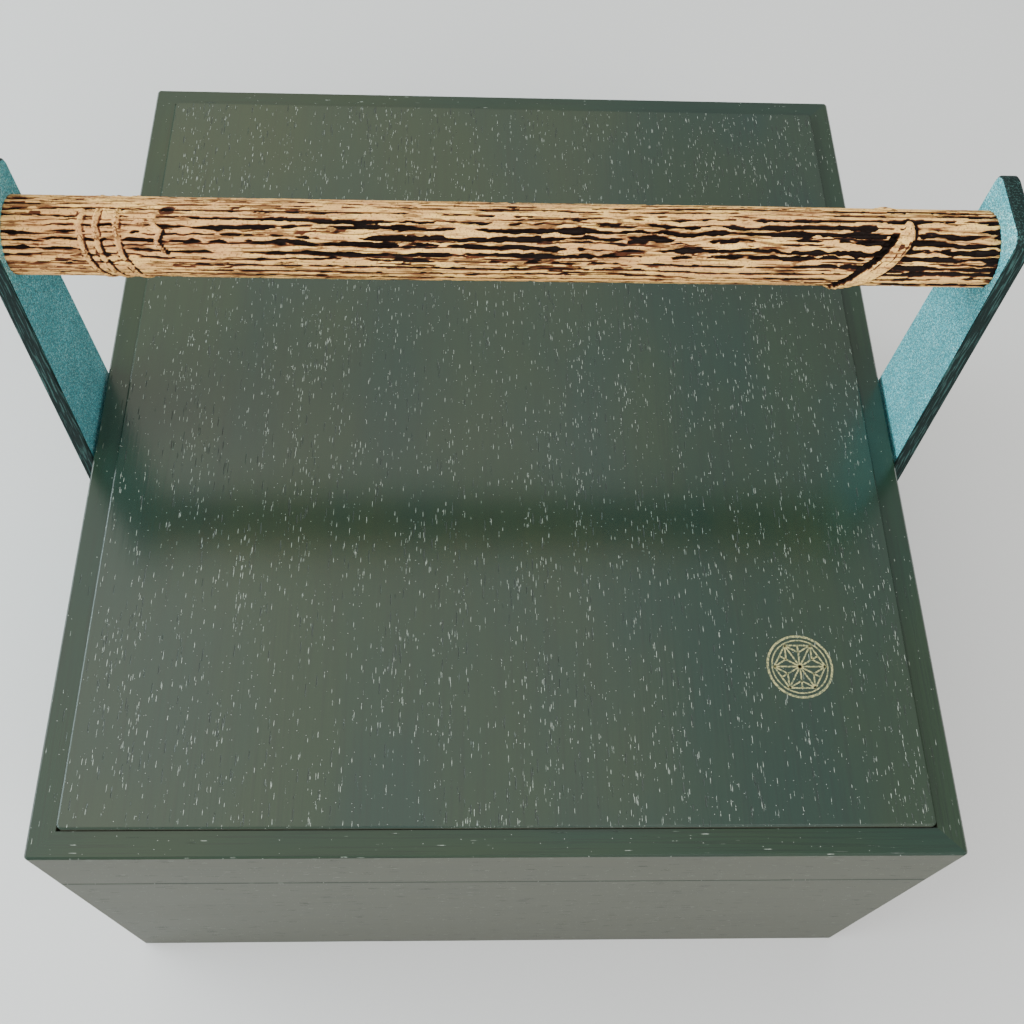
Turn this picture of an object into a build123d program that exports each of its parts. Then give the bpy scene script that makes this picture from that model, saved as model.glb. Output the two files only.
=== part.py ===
"""Lidded carrying box for tea utensils.

A mitred board case with a flush lid that drops over an inner collar, a shallow lift-out
tray, and a fixed carrying handle: two tapered side plates joined by a ridged bamboo bar.
Millimetres. The box stands on z = 0 with its front towards -Y, and the handle bar runs
along X.
"""

import math
import os

from build123d import *

os.makedirs("parts", exist_ok=True)

# ---------------------------------------------------------------- driving sizes
# Box
box_width = 300.0  # over the boards, left to right
box_depth = 336.0  # over the boards, front to back
case_height = 126.0  # resting edge to the seam under the lid
lid_height = 38.0  # seam to the rim of the lid
board = 9.0  # thickness of the case boards
corner_radius = 1.5  # upright outer corners
edge_break = 0.7  # softened outer edges at rim and foot
seam_break = 0.35  # broken edges that draw the seam line

# Lid panel, held by a tongue in the lid boards and standing proud of them
panel_thickness = 7.5
panel_proud = 1.5
panel_corner = 2.0
panel_edge = 0.6
panel_tongue = 3.0  # thickness of the tongue
panel_groove = 4.0  # depth of the groove it runs in

# Case bottom, let into grooves
bottom_thickness = 5.0
bottom_lift = 3.0  # underside of the board above the resting edge
bottom_groove = 4.0

# Collar that guides the lid, and the ledges that carry the tray
collar_thickness = 4.0
collar_corner = 2.0
collar_rise = 10.0  # above the seam
collar_lead = 1.0  # bevel that leads the lid on
ledge_thickness = 8.0
ledge_reach = 7.0  # beyond the collar
ledge_bevel = 3.0

# Lift-out tray
tray_height = 34.0
tray_board = 6.0
tray_corner = 1.0
tray_bottom_thickness = 4.0
tray_bottom_lift = 2.0
tray_groove = 3.0
scoop_width = 64.0  # finger scoop in the front and back boards
scoop_depth = 12.0
scoop_radius = 10.0

# Handle
handle_gap = 1.5  # between the case side and the inner face of a plate
plate_thickness = 5.5
plate_width_rim = 39.0  # width of the plate level with the lid's rim
plate_width_top = 28.5
plate_rise = 117.0  # rim of the lid to the top of the plate
plate_foot = 30.0  # lower end of the plate above the resting edge
plate_top_radius = 5.0
plate_foot_radius = 10.0
plate_edge = 0.6
packing_margin = 1.5  # packing stops this far inside the plate's outline
packing_drop = 3.0  # and this far below the seam
peg_size = 5.5  # square pegs
peg_proud = 1.2
peg_head_bevel = 0.9
peg_spread = 28.0  # between the two pegs of a row
peg_row_low = 52.0
peg_row_high = 92.0

# Bamboo bar
bar_rise = 96.5  # rim of the lid to the bar's axis
bar_radius = 12.0  # over the ridges
ridge_count = 20
ridge_share = 0.62  # share of the pitch that is crest
valley_depth = 0.75
valley_change = 0.55  # how much the depth varies from valley to valley
ridge_wander = 0.16  # sideways drift of a valley, in pitches
ridge_step = 2.4  # phase from one valley to the next, in radians
ripple_length = 27.0  # length along the bar of one radian of drift
node_facing = 95.0  # direction of the nodes' lean, degrees above +Y
left_node = -119.0
left_node_lean = -22.0
right_node = 111.0
right_node_lean = 42.0
node_clear = 16.0  # first plain section beyond a node
internode_sections = 4
# One node: distance along the bar, share of the full lean, swelling of the radius
node_profile = (
    (-8.0, 0.7, 0.0),
    (-2.5, 1.0, 1.0),
    (1.0, 1.0, 1.2),
    (2.5, 1.0, -0.3),
    (8.0, 0.7, 0.2),
)

# Dowels that plug the bar and run through the plates
dowel_radius = 7.0
dowel_length = 26.0
tenon_size = 10.0  # square tenon through the plate
tenon_bevel = 0.5

# Clearances
lid_fit = 0.3  # lid boards to collar, each side
tray_fit = 1.0  # tray to collar, each side
panel_gap = 0.3  # lid panel to lid boards, each side
groove_fit = 0.2  # board edge to the bottom of its groove
ledge_fit = 0.2  # ledge end to the case board
peg_fit = 0.05
dowel_fit = 0.1

# ------------------------------------------------------------------ worked out
SIDES = ("front", "back", "left", "right")
rim = case_height + lid_height
inner_width = box_width - 2 * board
inner_depth = box_depth - 2 * board
lid_board = board - lid_fit
lid_inner_width = box_width - 2 * lid_board
lid_inner_depth = box_depth - 2 * lid_board
panel_low = rim + panel_proud - panel_thickness
collar_top = case_height + collar_rise
tray_low = collar_top - tray_height
tray_width = inner_width - 2 * (collar_thickness + tray_fit)
tray_depth = inner_depth - 2 * (collar_thickness + tray_fit)
plate_inner_x = box_width / 2 + handle_gap
plate_outer_x = plate_inner_x + plate_thickness
plate_top = rim + plate_rise
bar_height = rim + bar_rise
peg_hole = peg_size + 2 * peg_fit
peg_places = [
    (y, z) for y in (-peg_spread / 2, peg_spread / 2) for z in (peg_row_low, peg_row_high)
]


def save(part, name):
    """Label a finished piece and write its file."""
    part.label = name
    export_step(part, f"parts/{name}.step")


def mitre_outline(side, width, depth, reach):
    """Plan of one side of a mitred frame: outer edge, and 45 degree ends that go in by reach."""
    x = width / 2
    y = depth / 2
    near_x = x - reach
    near_y = y - reach
    outlines = {
        "front": [(-x, -y), (x, -y), (near_x, -near_y), (-near_x, -near_y)],
        "back": [(x, y), (-x, y), (-near_x, near_y), (near_x, near_y)],
        "left": [(-x, y), (-x, -y), (-near_x, -near_y), (-near_x, near_y)],
        "right": [(x, -y), (x, y), (near_x, near_y), (near_x, -near_y)],
    }
    return outlines[side]


def mitred_blank(side, width, depth, thickness, low, high, corner, top_break, foot_break):
    """One plain board of a mitred frame, with its outer upper and lower edges broken."""
    with BuildPart() as blank:
        with BuildSketch(Plane.XY.offset(low)):
            RectangleRounded(width, depth, corner)
            Rectangle(width - 2 * thickness, depth - 2 * thickness, mode=Mode.SUBTRACT)
        extrude(amount=high - low)
        chamfer(blank.faces().sort_by(Axis.Z)[-1].outer_wire().edges(), top_break)
        chamfer(blank.faces().sort_by(Axis.Z)[0].outer_wire().edges(), foot_break)
        with BuildSketch(Plane.XY.offset(low)):
            with BuildLine():
                Polyline(*mitre_outline(side, width, depth, 2 * thickness), close=True)
            make_face()
        extrude(amount=high - low, mode=Mode.INTERSECT)
    return blank.part


# ------------------------------------------------------------------------ case
for side in SIDES:
    case_blank = mitred_blank(
        side, box_width, box_depth, board, 0, case_height, corner_radius, seam_break, edge_break
    )
    with BuildPart() as case_board:
        add(case_blank)
        with BuildSketch(Plane.XY.offset(bottom_lift)):
            Rectangle(inner_width + 2 * bottom_groove, inner_depth + 2 * bottom_groove)
        extrude(amount=bottom_thickness, mode=Mode.SUBTRACT)
        if side in ("left", "right"):
            with BuildSketch(Plane.YZ):
                with Locations(*peg_places):
                    Rectangle(peg_hole, peg_hole)
            extrude(amount=box_width, both=True, mode=Mode.SUBTRACT)
    save(case_board.part, f"case_{side}")

with BuildPart() as case_bottom:
    with BuildSketch(Plane.XY.offset(bottom_lift)):
        Rectangle(
            inner_width + 2 * (bottom_groove - groove_fit),
            inner_depth + 2 * (bottom_groove - groove_fit),
        )
    extrude(amount=bottom_thickness)
save(case_bottom.part, "case_bottom")

# Collar: four strips glued inside the case, mitred like it and standing above the seam
for side in SIDES:
    collar_strip = mitred_blank(
        side, inner_width, inner_depth, collar_thickness, tray_low, collar_top,
        collar_corner, collar_lead, seam_break,
    )
    save(collar_strip, f"collar_{side}")

# Ledges under the collar that carry the tray
for side, sign in (("left", -1), ("right", 1)):
    ledge_width = collar_thickness + ledge_reach
    with BuildPart() as tray_ledge:
        with BuildSketch(Plane.XY.offset(tray_low - ledge_thickness)):
            with Locations((sign * (inner_width - ledge_width) / 2, 0)):
                Rectangle(ledge_width, inner_depth - 2 * ledge_fit)
        extrude(amount=ledge_thickness)
        ledge_edges = tray_ledge.edges().filter_by(Axis.Y).group_by(Axis.Z)[0]
        chamfer(ledge_edges.sort_by(Axis.X)[0 if sign > 0 else -1], ledge_bevel)
    save(tray_ledge.part, f"tray_ledge_{side}")

# ------------------------------------------------------------------------- lid
for side in SIDES:
    lid_blank = mitred_blank(
        side, box_width, box_depth, lid_board, case_height, rim, corner_radius,
        edge_break, seam_break,
    )
    with BuildPart() as lid_side:
        add(lid_blank)
        with BuildSketch(Plane.XY.offset(panel_low)):
            Rectangle(lid_inner_width + 2 * panel_groove, lid_inner_depth + 2 * panel_groove)
        extrude(amount=panel_tongue, mode=Mode.SUBTRACT)
    save(lid_side.part, f"lid_{side}")

with BuildPart() as lid_panel:
    with BuildSketch(Plane.XY.offset(panel_low)):
        Rectangle(
            lid_inner_width + 2 * (panel_groove - groove_fit),
            lid_inner_depth + 2 * (panel_groove - groove_fit),
        )
    extrude(amount=panel_tongue)
    with BuildSketch(Plane.XY.offset(panel_low)):
        RectangleRounded(
            lid_inner_width - 2 * panel_gap, lid_inner_depth - 2 * panel_gap, panel_corner
        )
    extrude(amount=panel_thickness)
    chamfer(lid_panel.faces().sort_by(Axis.Z)[-1].outer_wire().edges(), panel_edge)
save(lid_panel.part, "lid_panel")

# ------------------------------------------------------------------------ tray
for side in SIDES:
    tray_blank = mitred_blank(
        side, tray_width, tray_depth, tray_board, tray_low, collar_top, tray_corner,
        edge_break, edge_break,
    )
    with BuildPart() as tray_side:
        add(tray_blank)
        with BuildSketch(Plane.XY.offset(tray_low + tray_bottom_lift)):
            Rectangle(
                tray_width - 2 * (tray_board - tray_groove),
                tray_depth - 2 * (tray_board - tray_groove),
            )
        extrude(amount=tray_bottom_thickness, mode=Mode.SUBTRACT)
        if side in ("front", "back"):
            with BuildSketch(Plane.XZ):
                with Locations((0, collar_top)):
                    RectangleRounded(scoop_width, 2 * scoop_depth, scoop_radius)
            extrude(amount=box_depth, both=True, mode=Mode.SUBTRACT)
    save(tray_side.part, f"tray_{side}")

with BuildPart() as tray_bottom:
    with BuildSketch(Plane.XY.offset(tray_low + tray_bottom_lift)):
        Rectangle(
            tray_width - 2 * (tray_board - tray_groove + groove_fit),
            tray_depth - 2 * (tray_board - tray_groove + groove_fit),
        )
    extrude(amount=tray_bottom_thickness)
save(tray_bottom.part, "tray_bottom")


# ---------------------------------------------------------------------- handle
def plate_half_width(height):
    """Half the width of a handle plate, which narrows evenly from foot to top."""
    taper = (plate_width_rim - plate_width_top) / 2 / plate_rise
    return plate_width_rim / 2 - (height - rim) * taper


def plate_outline(low, high, inset):
    """Tapered outline in the YZ plane between two heights, drawn in by inset at its sides."""
    at_low = plate_half_width(low) - inset
    at_high = plate_half_width(high) - inset
    return [(-at_low, low), (at_low, low), (at_high, high), (-at_high, high)]


for side, sign in (("left", -1), ("right", 1)):
    with BuildPart() as handle_plate:
        with BuildSketch(Plane.YZ.offset(sign * plate_inner_x)) as plate_face:
            with BuildLine():
                Polyline(*plate_outline(plate_foot, plate_top, 0), close=True)
            make_face()
            fillet(plate_face.vertices().group_by(Axis.Y)[-1], plate_top_radius)
            fillet(plate_face.vertices().group_by(Axis.Y)[0], plate_foot_radius)
        extrude(amount=sign * plate_thickness)
        broad_faces = handle_plate.faces().filter_by(Axis.X)
        chamfer([edge for face in broad_faces for edge in face.edges()], plate_edge)
        with BuildSketch(Plane.YZ.offset(sign * plate_inner_x)):
            with Locations((0, bar_height)):
                Rectangle(tenon_size + 2 * dowel_fit, tenon_size + 2 * dowel_fit)
            with Locations(*peg_places):
                Rectangle(peg_hole, peg_hole)
        extrude(amount=sign * plate_thickness, mode=Mode.SUBTRACT)
    save(handle_plate.part, f"handle_plate_{side}")

    with BuildPart() as handle_packing:
        with BuildSketch(Plane.YZ.offset(sign * box_width / 2)) as packing_face:
            with BuildLine():
                packing_foot = plate_foot + packing_margin
                packing_top = case_height - packing_drop
                Polyline(*plate_outline(packing_foot, packing_top, packing_margin), close=True)
            make_face()
            fillet(packing_face.vertices().group_by(Axis.Y)[0], plate_foot_radius)
            with Locations(*peg_places):
                Rectangle(peg_hole, peg_hole, mode=Mode.SUBTRACT)
        extrude(amount=sign * handle_gap)
    save(handle_packing.part, f"handle_packing_{side}")

    with BuildPart() as handle_pegs:
        with BuildSketch(Plane.YZ.offset(sign * inner_width / 2)):
            with Locations(*peg_places):
                Rectangle(peg_size, peg_size)
        extrude(amount=sign * (board + handle_gap + plate_thickness + peg_proud))
        peg_ends = handle_pegs.faces().filter_by(Axis.X).group_by(Axis.X)
        outer_ends = peg_ends[-1] if sign > 0 else peg_ends[0]
        chamfer(outer_ends.edges(), peg_head_bevel)
    save(handle_pegs.part, f"handle_pegs_{side}")

    with BuildPart() as handle_dowel:
        with BuildSketch(Plane.YZ.offset(sign * plate_inner_x)):
            with Locations((0, bar_height)):
                Circle(dowel_radius)
        extrude(amount=-sign * dowel_length)
        with BuildSketch(Plane.YZ.offset(sign * plate_inner_x)):
            with Locations((0, bar_height)):
                Rectangle(tenon_size, tenon_size)
        extrude(amount=sign * plate_thickness)
        dowel_ends = handle_dowel.faces().filter_by(Axis.X).sort_by(Axis.X)
        chamfer(dowel_ends[-1 if sign > 0 else 0].edges(), tenon_bevel)
    save(handle_dowel.part, f"handle_dowel_{side}")


# ------------------------------------------------------------------ bamboo bar
def culm_plane(x, lean):
    """Plane of a section through the culm at x, leaning over so that its far edge moves to +X."""
    tilt = math.radians(lean)
    facing = math.radians(node_facing)
    across = (math.sin(tilt), math.cos(tilt) * math.cos(facing), math.cos(tilt) * math.sin(facing))
    along = (math.cos(tilt), -math.sin(tilt) * math.cos(facing), -math.sin(tilt) * math.sin(facing))
    return Plane(origin=(x, 0, bar_height), x_dir=across, z_dir=along)


def culm_outline(x, lean, swell):
    """Ridged outline of a section: for each ridge a valley, then the two corners of its crest."""
    pitch = 2 * math.pi / ridge_count
    stretch = 1 / math.cos(math.radians(lean))
    points = []
    for ridge in range(ridge_count):
        phase = ridge * ridge_step + x / ripple_length
        valley = pitch * (ridge + ridge_wander * math.sin(phase))
        depth = valley_depth * (1 - valley_change * math.sin(ridge * ridge + phase) ** 2)
        for angle, sink in (
            (valley, depth),
            (valley + pitch * (1 - ridge_share) / 2, 0),
            (valley + pitch * (1 + ridge_share) / 2, 0),
        ):
            radius = bar_radius + swell - sink
            points.append((radius * math.cos(angle) * stretch, radius * math.sin(angle)))
    return points


def culm_sections():
    """Sections along the culm as x, lean and swelling, from the left end to the right end."""
    sections = [(-plate_inner_x, 0, 0)]
    for offset, share, swell in node_profile:
        sections.append((left_node + offset, left_node_lean * share, swell))
    first = left_node + node_clear
    last = right_node - node_clear
    for index in range(internode_sections):
        x = first + (last - first) * index / (internode_sections - 1)
        sections.append((x, 0, 0))
    for offset, share, swell in node_profile:
        sections.append((right_node + offset, right_node_lean * share, swell))
    sections.append((plate_inner_x, 0, 0))
    return sections


with BuildPart() as handle_bar:
    for x, lean, swell in culm_sections():
        with BuildSketch(culm_plane(x, lean)):
            with BuildLine():
                Polyline(*culm_outline(x, lean, swell), close=True)
            make_face()
    loft(ruled=True)
    for sign in (-1, 1):
        with BuildSketch(Plane.YZ.offset(sign * plate_inner_x)):
            with Locations((0, bar_height)):
                Circle(dowel_radius + dowel_fit)
        extrude(amount=-sign * (dowel_length + dowel_fit), mode=Mode.SUBTRACT)
save(handle_bar.part, "handle_bar")
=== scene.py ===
"""Looks of a lidded carrying box for tea utensils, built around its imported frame.

Lid and case wear green lacquer over open-pored wood, the handle plates a teal lacquer with
metal flake, and the bar of the handle is a ridged culm modelled groove by groove. Metres,
+Z up, the front towards -Y and the bar along X.
"""

import logging
import math
from collections.abc import Callable
from dataclasses import dataclass, field
from enum import Enum

import bpy
import numpy as np
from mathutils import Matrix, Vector


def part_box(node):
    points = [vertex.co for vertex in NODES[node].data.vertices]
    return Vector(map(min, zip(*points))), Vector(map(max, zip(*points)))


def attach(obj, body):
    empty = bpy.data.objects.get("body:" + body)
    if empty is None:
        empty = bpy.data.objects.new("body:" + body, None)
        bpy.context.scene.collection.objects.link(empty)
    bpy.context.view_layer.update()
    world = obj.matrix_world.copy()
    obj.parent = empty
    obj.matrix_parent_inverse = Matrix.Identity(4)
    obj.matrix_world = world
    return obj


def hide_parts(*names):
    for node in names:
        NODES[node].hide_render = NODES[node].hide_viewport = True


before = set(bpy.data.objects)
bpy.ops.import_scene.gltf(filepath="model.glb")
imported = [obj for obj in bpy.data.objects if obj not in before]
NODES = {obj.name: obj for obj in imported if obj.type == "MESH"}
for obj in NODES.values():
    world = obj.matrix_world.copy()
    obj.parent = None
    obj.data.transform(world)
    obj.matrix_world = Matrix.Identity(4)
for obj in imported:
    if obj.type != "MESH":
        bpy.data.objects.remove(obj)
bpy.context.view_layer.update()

MM = 0.001
SIDES = ("front", "back", "left", "right")
PAPER_GREY = 0.604

Colour = tuple[float, float, float]
Point = tuple[float, float, float]
log = logging.getLogger("tea_box")


class Axis(Enum):
    """Direction that a board's grain runs in."""

    X = 0
    Y = 1
    Z = 2


def board_grain(side: str) -> Axis:
    """Grain of a board on one of the four sides, which runs along it."""
    return Axis.X if side in ("front", "back") else Axis.Y


# ------------------------------------------------------------------ shader bench
def operator(operation: str, reflected: bool = False) -> Callable:
    """A Signal's operator that adds one Math node.

    Args:
        operation: the Math node's operation.
        reflected: whether the signal stands on the right of the other term.

    Returns:
        The operator's method.
    """

    def combine(signal: "Signal", other: "Signal | float") -> "Signal":
        """The signal and the other term, in their order."""
        return signal.math(operation, *((other, signal) if reflected else (signal, other)))

    return combine


class Signal:
    """A value, colour or vector inside a material, with arithmetic that adds Math nodes."""

    __add__, __radd__ = operator("ADD"), operator("ADD", reflected=True)
    __sub__, __rsub__ = operator("SUBTRACT"), operator("SUBTRACT", reflected=True)
    __mul__, __rmul__ = operator("MULTIPLY"), operator("MULTIPLY", reflected=True)
    peak = operator("MAXIMUM")

    def __init__(self, bench: "Bench", node: bpy.types.Node, output: str | int = 0) -> None:
        """Hold the node, which of its outputs is meant, and the bench that it is on."""
        self.bench = bench
        self.node = node
        self.output = output

    @property
    def socket(self) -> bpy.types.NodeSocket:
        """The output socket itself."""
        return self.node.outputs[self.output]

    def out(self, output: str | int) -> "Signal":
        """Another output of the same node."""
        return Signal(self.bench, self.node, output)

    def math(self, operation: str, *terms: "Signal | float") -> "Signal":
        """Add one Math node.

        Args:
            operation: the Math node's operation.
            terms: its inputs in order, this signal among them.

        Returns:
            The node's value.
        """
        return self.bench.add("ShaderNodeMath", {"operation": operation}, dict(enumerate(terms)))

    def __abs__(self) -> "Signal":
        """Absolute value."""
        return self.math("ABSOLUTE", self)

    def step(self, low: float, high: float) -> "Signal":
        """Smooth rise from 0 at low to 1 at high; with low above high, a smooth fall.

        Args:
            low: value at which the result is 0.
            high: value at which the result is 1.

        Returns:
            The share between the two, from 0 to 1.
        """
        return self.bench.add(
            "ShaderNodeMapRange",
            {"interpolation_type": "SMOOTHSTEP"},
            {"Value": self, "From Min": low, "From Max": high, "To Min": 0.0, "To Max": 1.0},
        )

    def part(self, index: int) -> "Signal":
        """One component of a vector."""
        return self.bench.add("ShaderNodeSeparateXYZ", {}, {0: self}, index)


class Bench:
    """The node tree of one material or world, and the one way of adding nodes to it."""

    def __init__(self, tree: bpy.types.NodeTree) -> None:
        """Clear the tree and hold it."""
        self.tree = tree
        tree.nodes.clear()

    def add(
        self,
        kind: str,
        settings: dict[str, object] | None = None,
        inputs: dict[str | int, object] | None = None,
        output: str | int = 0,
    ) -> Signal:
        """Add a node: its settings first, then its inputs.

        Args:
            kind: the node's type name.
            settings: its properties.
            inputs: a value or a signal for each socket, by name or by number.
            output: the socket to return, by name or by number.

        Returns:
            The chosen output as a signal.
        """
        node = self.tree.nodes.new(kind)
        for name, value in (settings or {}).items():
            setattr(node, name, value)
        for name, value in (inputs or {}).items():
            self.feed(node.inputs[name], value)
        return Signal(self, node, output)

    def feed(self, socket: bpy.types.NodeSocket, value: object) -> None:
        """Link a signal to a socket, or set the socket's own value.

        Args:
            socket: the input socket.
            value: a signal, a number, or a colour or vector of three numbers.
        """
        if isinstance(value, Signal):
            self.tree.links.new(value.socket, socket)
        elif isinstance(value, tuple) and socket.type == "RGBA":
            socket.default_value = (*value, 1.0)
        else:
            socket.default_value = value

    def place(self) -> Signal:
        """Place on the piece in metres."""
        return self.add("ShaderNodeTexCoord", output="Object")

    def facing(self) -> Signal:
        """Direction that the surface faces, on the piece."""
        return self.add("ShaderNodeTexCoord", output="Normal")

    def grain(self, axis: Axis, along: float, across: float) -> Signal:
        """Place on the piece counted in grain cells.

        Args:
            axis: direction of the grain.
            along: length of a cell along the grain, in metres.
            across: width of a cell across it, in metres.

        Returns:
            The stretched coordinates.
        """
        scale = [1.0 / across] * 3
        scale[axis.value] = 1.0 / along
        return self.add(
            "ShaderNodeVectorMath", {"operation": "MULTIPLY"}, {0: self.place(), 1: tuple(scale)}
        )

    def noise(self, at: Signal, scale: float = 1.0, detail: float = 2.0) -> Signal:
        """Smooth noise around 0.5.

        Args:
            at: the coordinates.
            scale: cells to each unit of them.
            detail: finer layers added.

        Returns:
            The noise value.
        """
        return self.add(
            "ShaderNodeTexNoise", {}, {"Vector": at, "Scale": scale, "Detail": detail}
        )

    def cells(self, at: Signal, scale: float, output: str = "Distance") -> Signal:
        """Scattered cells.

        Args:
            at: the coordinates.
            scale: cells to each unit of them.
            output: Distance to the cell's point, or the cell's own random Color.

        Returns:
            That output.
        """
        return self.add("ShaderNodeTexVoronoi", {}, {"Vector": at, "Scale": scale}, output)

    def mix(self, factor: Signal | float, first: object, second: object) -> Signal:
        """Mix two colours.

        Args:
            factor: share of the second colour.
            first: colour or signal at 0.
            second: colour or signal at 1.

        Returns:
            The mixed colour.
        """
        return self.add(
            "ShaderNodeMix", {"data_type": "RGBA"}, {0: factor, 6: first, 7: second}, 2
        )

    def bump(self, height: Signal, depth: float) -> Signal:
        """Surface direction over a relief of that depth in metres."""
        return self.add("ShaderNodeBump", {}, {"Height": height, "Distance": depth})

    def surface(self, **inputs: object) -> None:
        """Finish a material with one Principled shader.

        Args:
            inputs: its sockets, with underscores for the spaces in their names.
        """
        named = {name.replace("_", " "): value for name, value in inputs.items()}
        shader = self.add("ShaderNodeBsdfPrincipled", {}, named)
        self.add("ShaderNodeOutputMaterial", {}, {"Surface": shader})


class Finish:
    """A material made once and shared by the pieces that wear it."""

    name: str

    def paint(self, bench: Bench) -> None:
        """Lay the finish on the bench; each finish has its own."""
        raise NotImplementedError

    def material(self) -> bpy.types.Material:
        """The finish's material, made at its first use."""
        made = bpy.data.materials.get(self.name)
        if made is None:
            made = bpy.data.materials.new(self.name)
            made.use_nodes = True
            self.paint(Bench(made.node_tree))
        return made

    def dress(self, piece: bpy.types.Object) -> None:
        """Put the finish on every face of a piece."""
        piece.data.materials.clear()
        piece.data.materials.append(self.material())


# ---------------------------------------------------------------------- finishes
@dataclass(frozen=True)
class PoredLacquer(Finish):
    """Satin-gloss lacquer over open-pored wood: short pores along the grain, settled dust, painted
    highlights on some pores and a painted shade line along the lid's seam.
    """

    name: str
    grain: Axis
    deep: Colour = (0.008, 0.026, 0.018)
    worn: Colour = (0.014, 0.030, 0.015)
    pore: Colour = (0.008, 0.014, 0.011)
    side: Colour = (0.040, 0.044, 0.025)  # upright faces: partly the lacquer's own olive tone, partly painted warm reflection of the floor
    # painted highlight colour of the pore ticks that would catch the light
    pore_glint: Colour = (0.36, 0.40, 0.35)
    dust: Colour = (0.50, 0.52, 0.48)
    pore_share: float = 0.60  # share of the grain cells that hold a pore
    side_share: float = 0.60  # the same share on upright faces
    pore_cell: tuple[float, float] = (9.0 * MM, 0.70 * MM)  # along and across the grain
    pore_depth: float = 0.26 * MM
    pore_glint_share: float = 0.50  # share of the finer cells whose pore tick gets a painted highlight
    pore_glint_cell: tuple[float, float] = (5.0 * MM, 0.46 * MM)
    fibre_contrast: float = 0.30
    roughness: float = 0.19
    side_dullness: float = 0.36  # roughness added on upright faces, and along the lid's seam
    seam_dullness: float = 0.35
    gloss_index: float = 1.70
    dust_spacing: float = 1.4 * MM
    dust_share: float = 0.30
    seam: float = -1.0  # height of the lid's seam, along which upright faces get a painted shade line

    def ticks(self, bench: Bench, along: float, across: float, share: Signal | float) -> Signal:
        """Pointed ticks scattered along the grain.

        Args:
            bench: the material's bench.
            along: length of the cell that holds one.
            across: width of that cell.
            share: share of the cells that hold one.

        Returns:
            A mask, 1 inside the ticks.
        """
        cell = bench.cells(bench.grain(self.grain, along, across), 1.0)
        chance = cell.out("Color").part(0)
        ragged = bench.noise(bench.grain(self.grain, 0.9 * MM, 0.35 * MM), detail=1.0)
        gap = cell + (ragged - 0.5) * 0.50
        return gap.step(0.25, 0.17) * (share - chance).step(-0.04, 0.04)

    def paint(self, bench: Bench) -> None:
        """Mottled lacquer with fibre lines, sunk dark pores, pores with painted highlights, dust
        specks and a painted shade line along the seam.

        Args:
            bench: the material's bench.
        """
        cloud = bench.noise(bench.grain(self.grain, 110 * MM, 45 * MM), detail=3.0)
        # Pores crowd together in wide patches and in thin chains along the grain
        crowd = bench.noise(bench.grain(self.grain, 45 * MM, 7 * MM), detail=1.0)
        crowd = crowd.step(0.38, 0.62)
        chain = bench.noise(bench.grain(self.grain, 26 * MM, 1.3 * MM), detail=1.0)
        chain = chain.step(0.42, 0.60)
        upright = abs(bench.facing().part(2)).step(0.6, 0.3)
        share = self.pore_share + (self.side_share - self.pore_share) * upright
        pores = self.ticks(bench, *self.pore_cell, share * crowd * (0.4 + 0.6 * chain))
        # Painted highlights: pale ticks where the pores' relief would catch the light
        glinting_pores = self.pore_glint_share * (0.3 + 0.7 * crowd) * (0.15 + 1.2 * chain)
        glinting_pores = self.ticks(bench, *self.pore_glint_cell, glinting_pores)
        fibres = bench.noise(bench.grain(self.grain, 40 * MM, 0.7 * MM), detail=3.0)
        speck = bench.cells(bench.place(), 1.0 / self.dust_spacing)
        dusty = (self.dust_share - speck.out("Color").part(1)).step(-0.02, 0.02)
        dust = speck.step(0.12, 0.06) * dusty
        lacquer = bench.mix(cloud.step(0.35, 0.65), self.deep, self.worn)
        # Upright faces take the side colour, partly painted warm reflection of the floor
        lacquer = bench.mix(upright, lacquer, self.side)
        lacquer = bench.mix(fibres.step(0.45, 0.7) * self.fibre_contrast, lacquer, self.pore)
        lacquer = bench.mix(pores * 0.9, lacquer, self.pore)
        lacquer = bench.mix(glinting_pores * 0.80, lacquer, self.pore_glint)
        lacquer = bench.mix(dust * 0.7, lacquer, self.dust)
        # Painted shade: a dark line on upright faces along the lid's seam
        seam_shade = upright * abs(bench.place().part(2) - self.seam).step(0.8 * MM, 0.3 * MM)
        lacquer = bench.mix(seam_shade, lacquer, self.pore)
        relief = 1.0 - pores - 0.5 * glinting_pores + fibres * 0.10 + dust * 0.3
        dull = self.side_dullness * upright + self.seam_dullness * seam_shade
        bench.surface(
            Base_Color=lacquer,
            Roughness=self.roughness + 0.06 * cloud + 0.35 * pores + 0.3 * dust + dull,
            IOR=self.gloss_index,
            Normal=bench.bump(relief, self.pore_depth),
        )


def board_lacquer(part: str, grain: Axis) -> PoredLacquer:
    """The finish that the edge boards of the lid share with those of the case.

    Args:
        part: which of the two it is for.
        grain: the boards' grain.

    Returns:
        The finish, with the height of the lid's seam.
    """
    return PoredLacquer(
        name=f"{part}_lacquer_{grain.name.lower()}", grain=grain, pore_share=0.07,
        side_share=0.45, pore_depth=0.12 * MM, pore_glint_share=0.07, fibre_contrast=0.40,
        gloss_index=1.58, dust_share=0.16, seam=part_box("lid_front")[0].z,
    )


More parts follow.
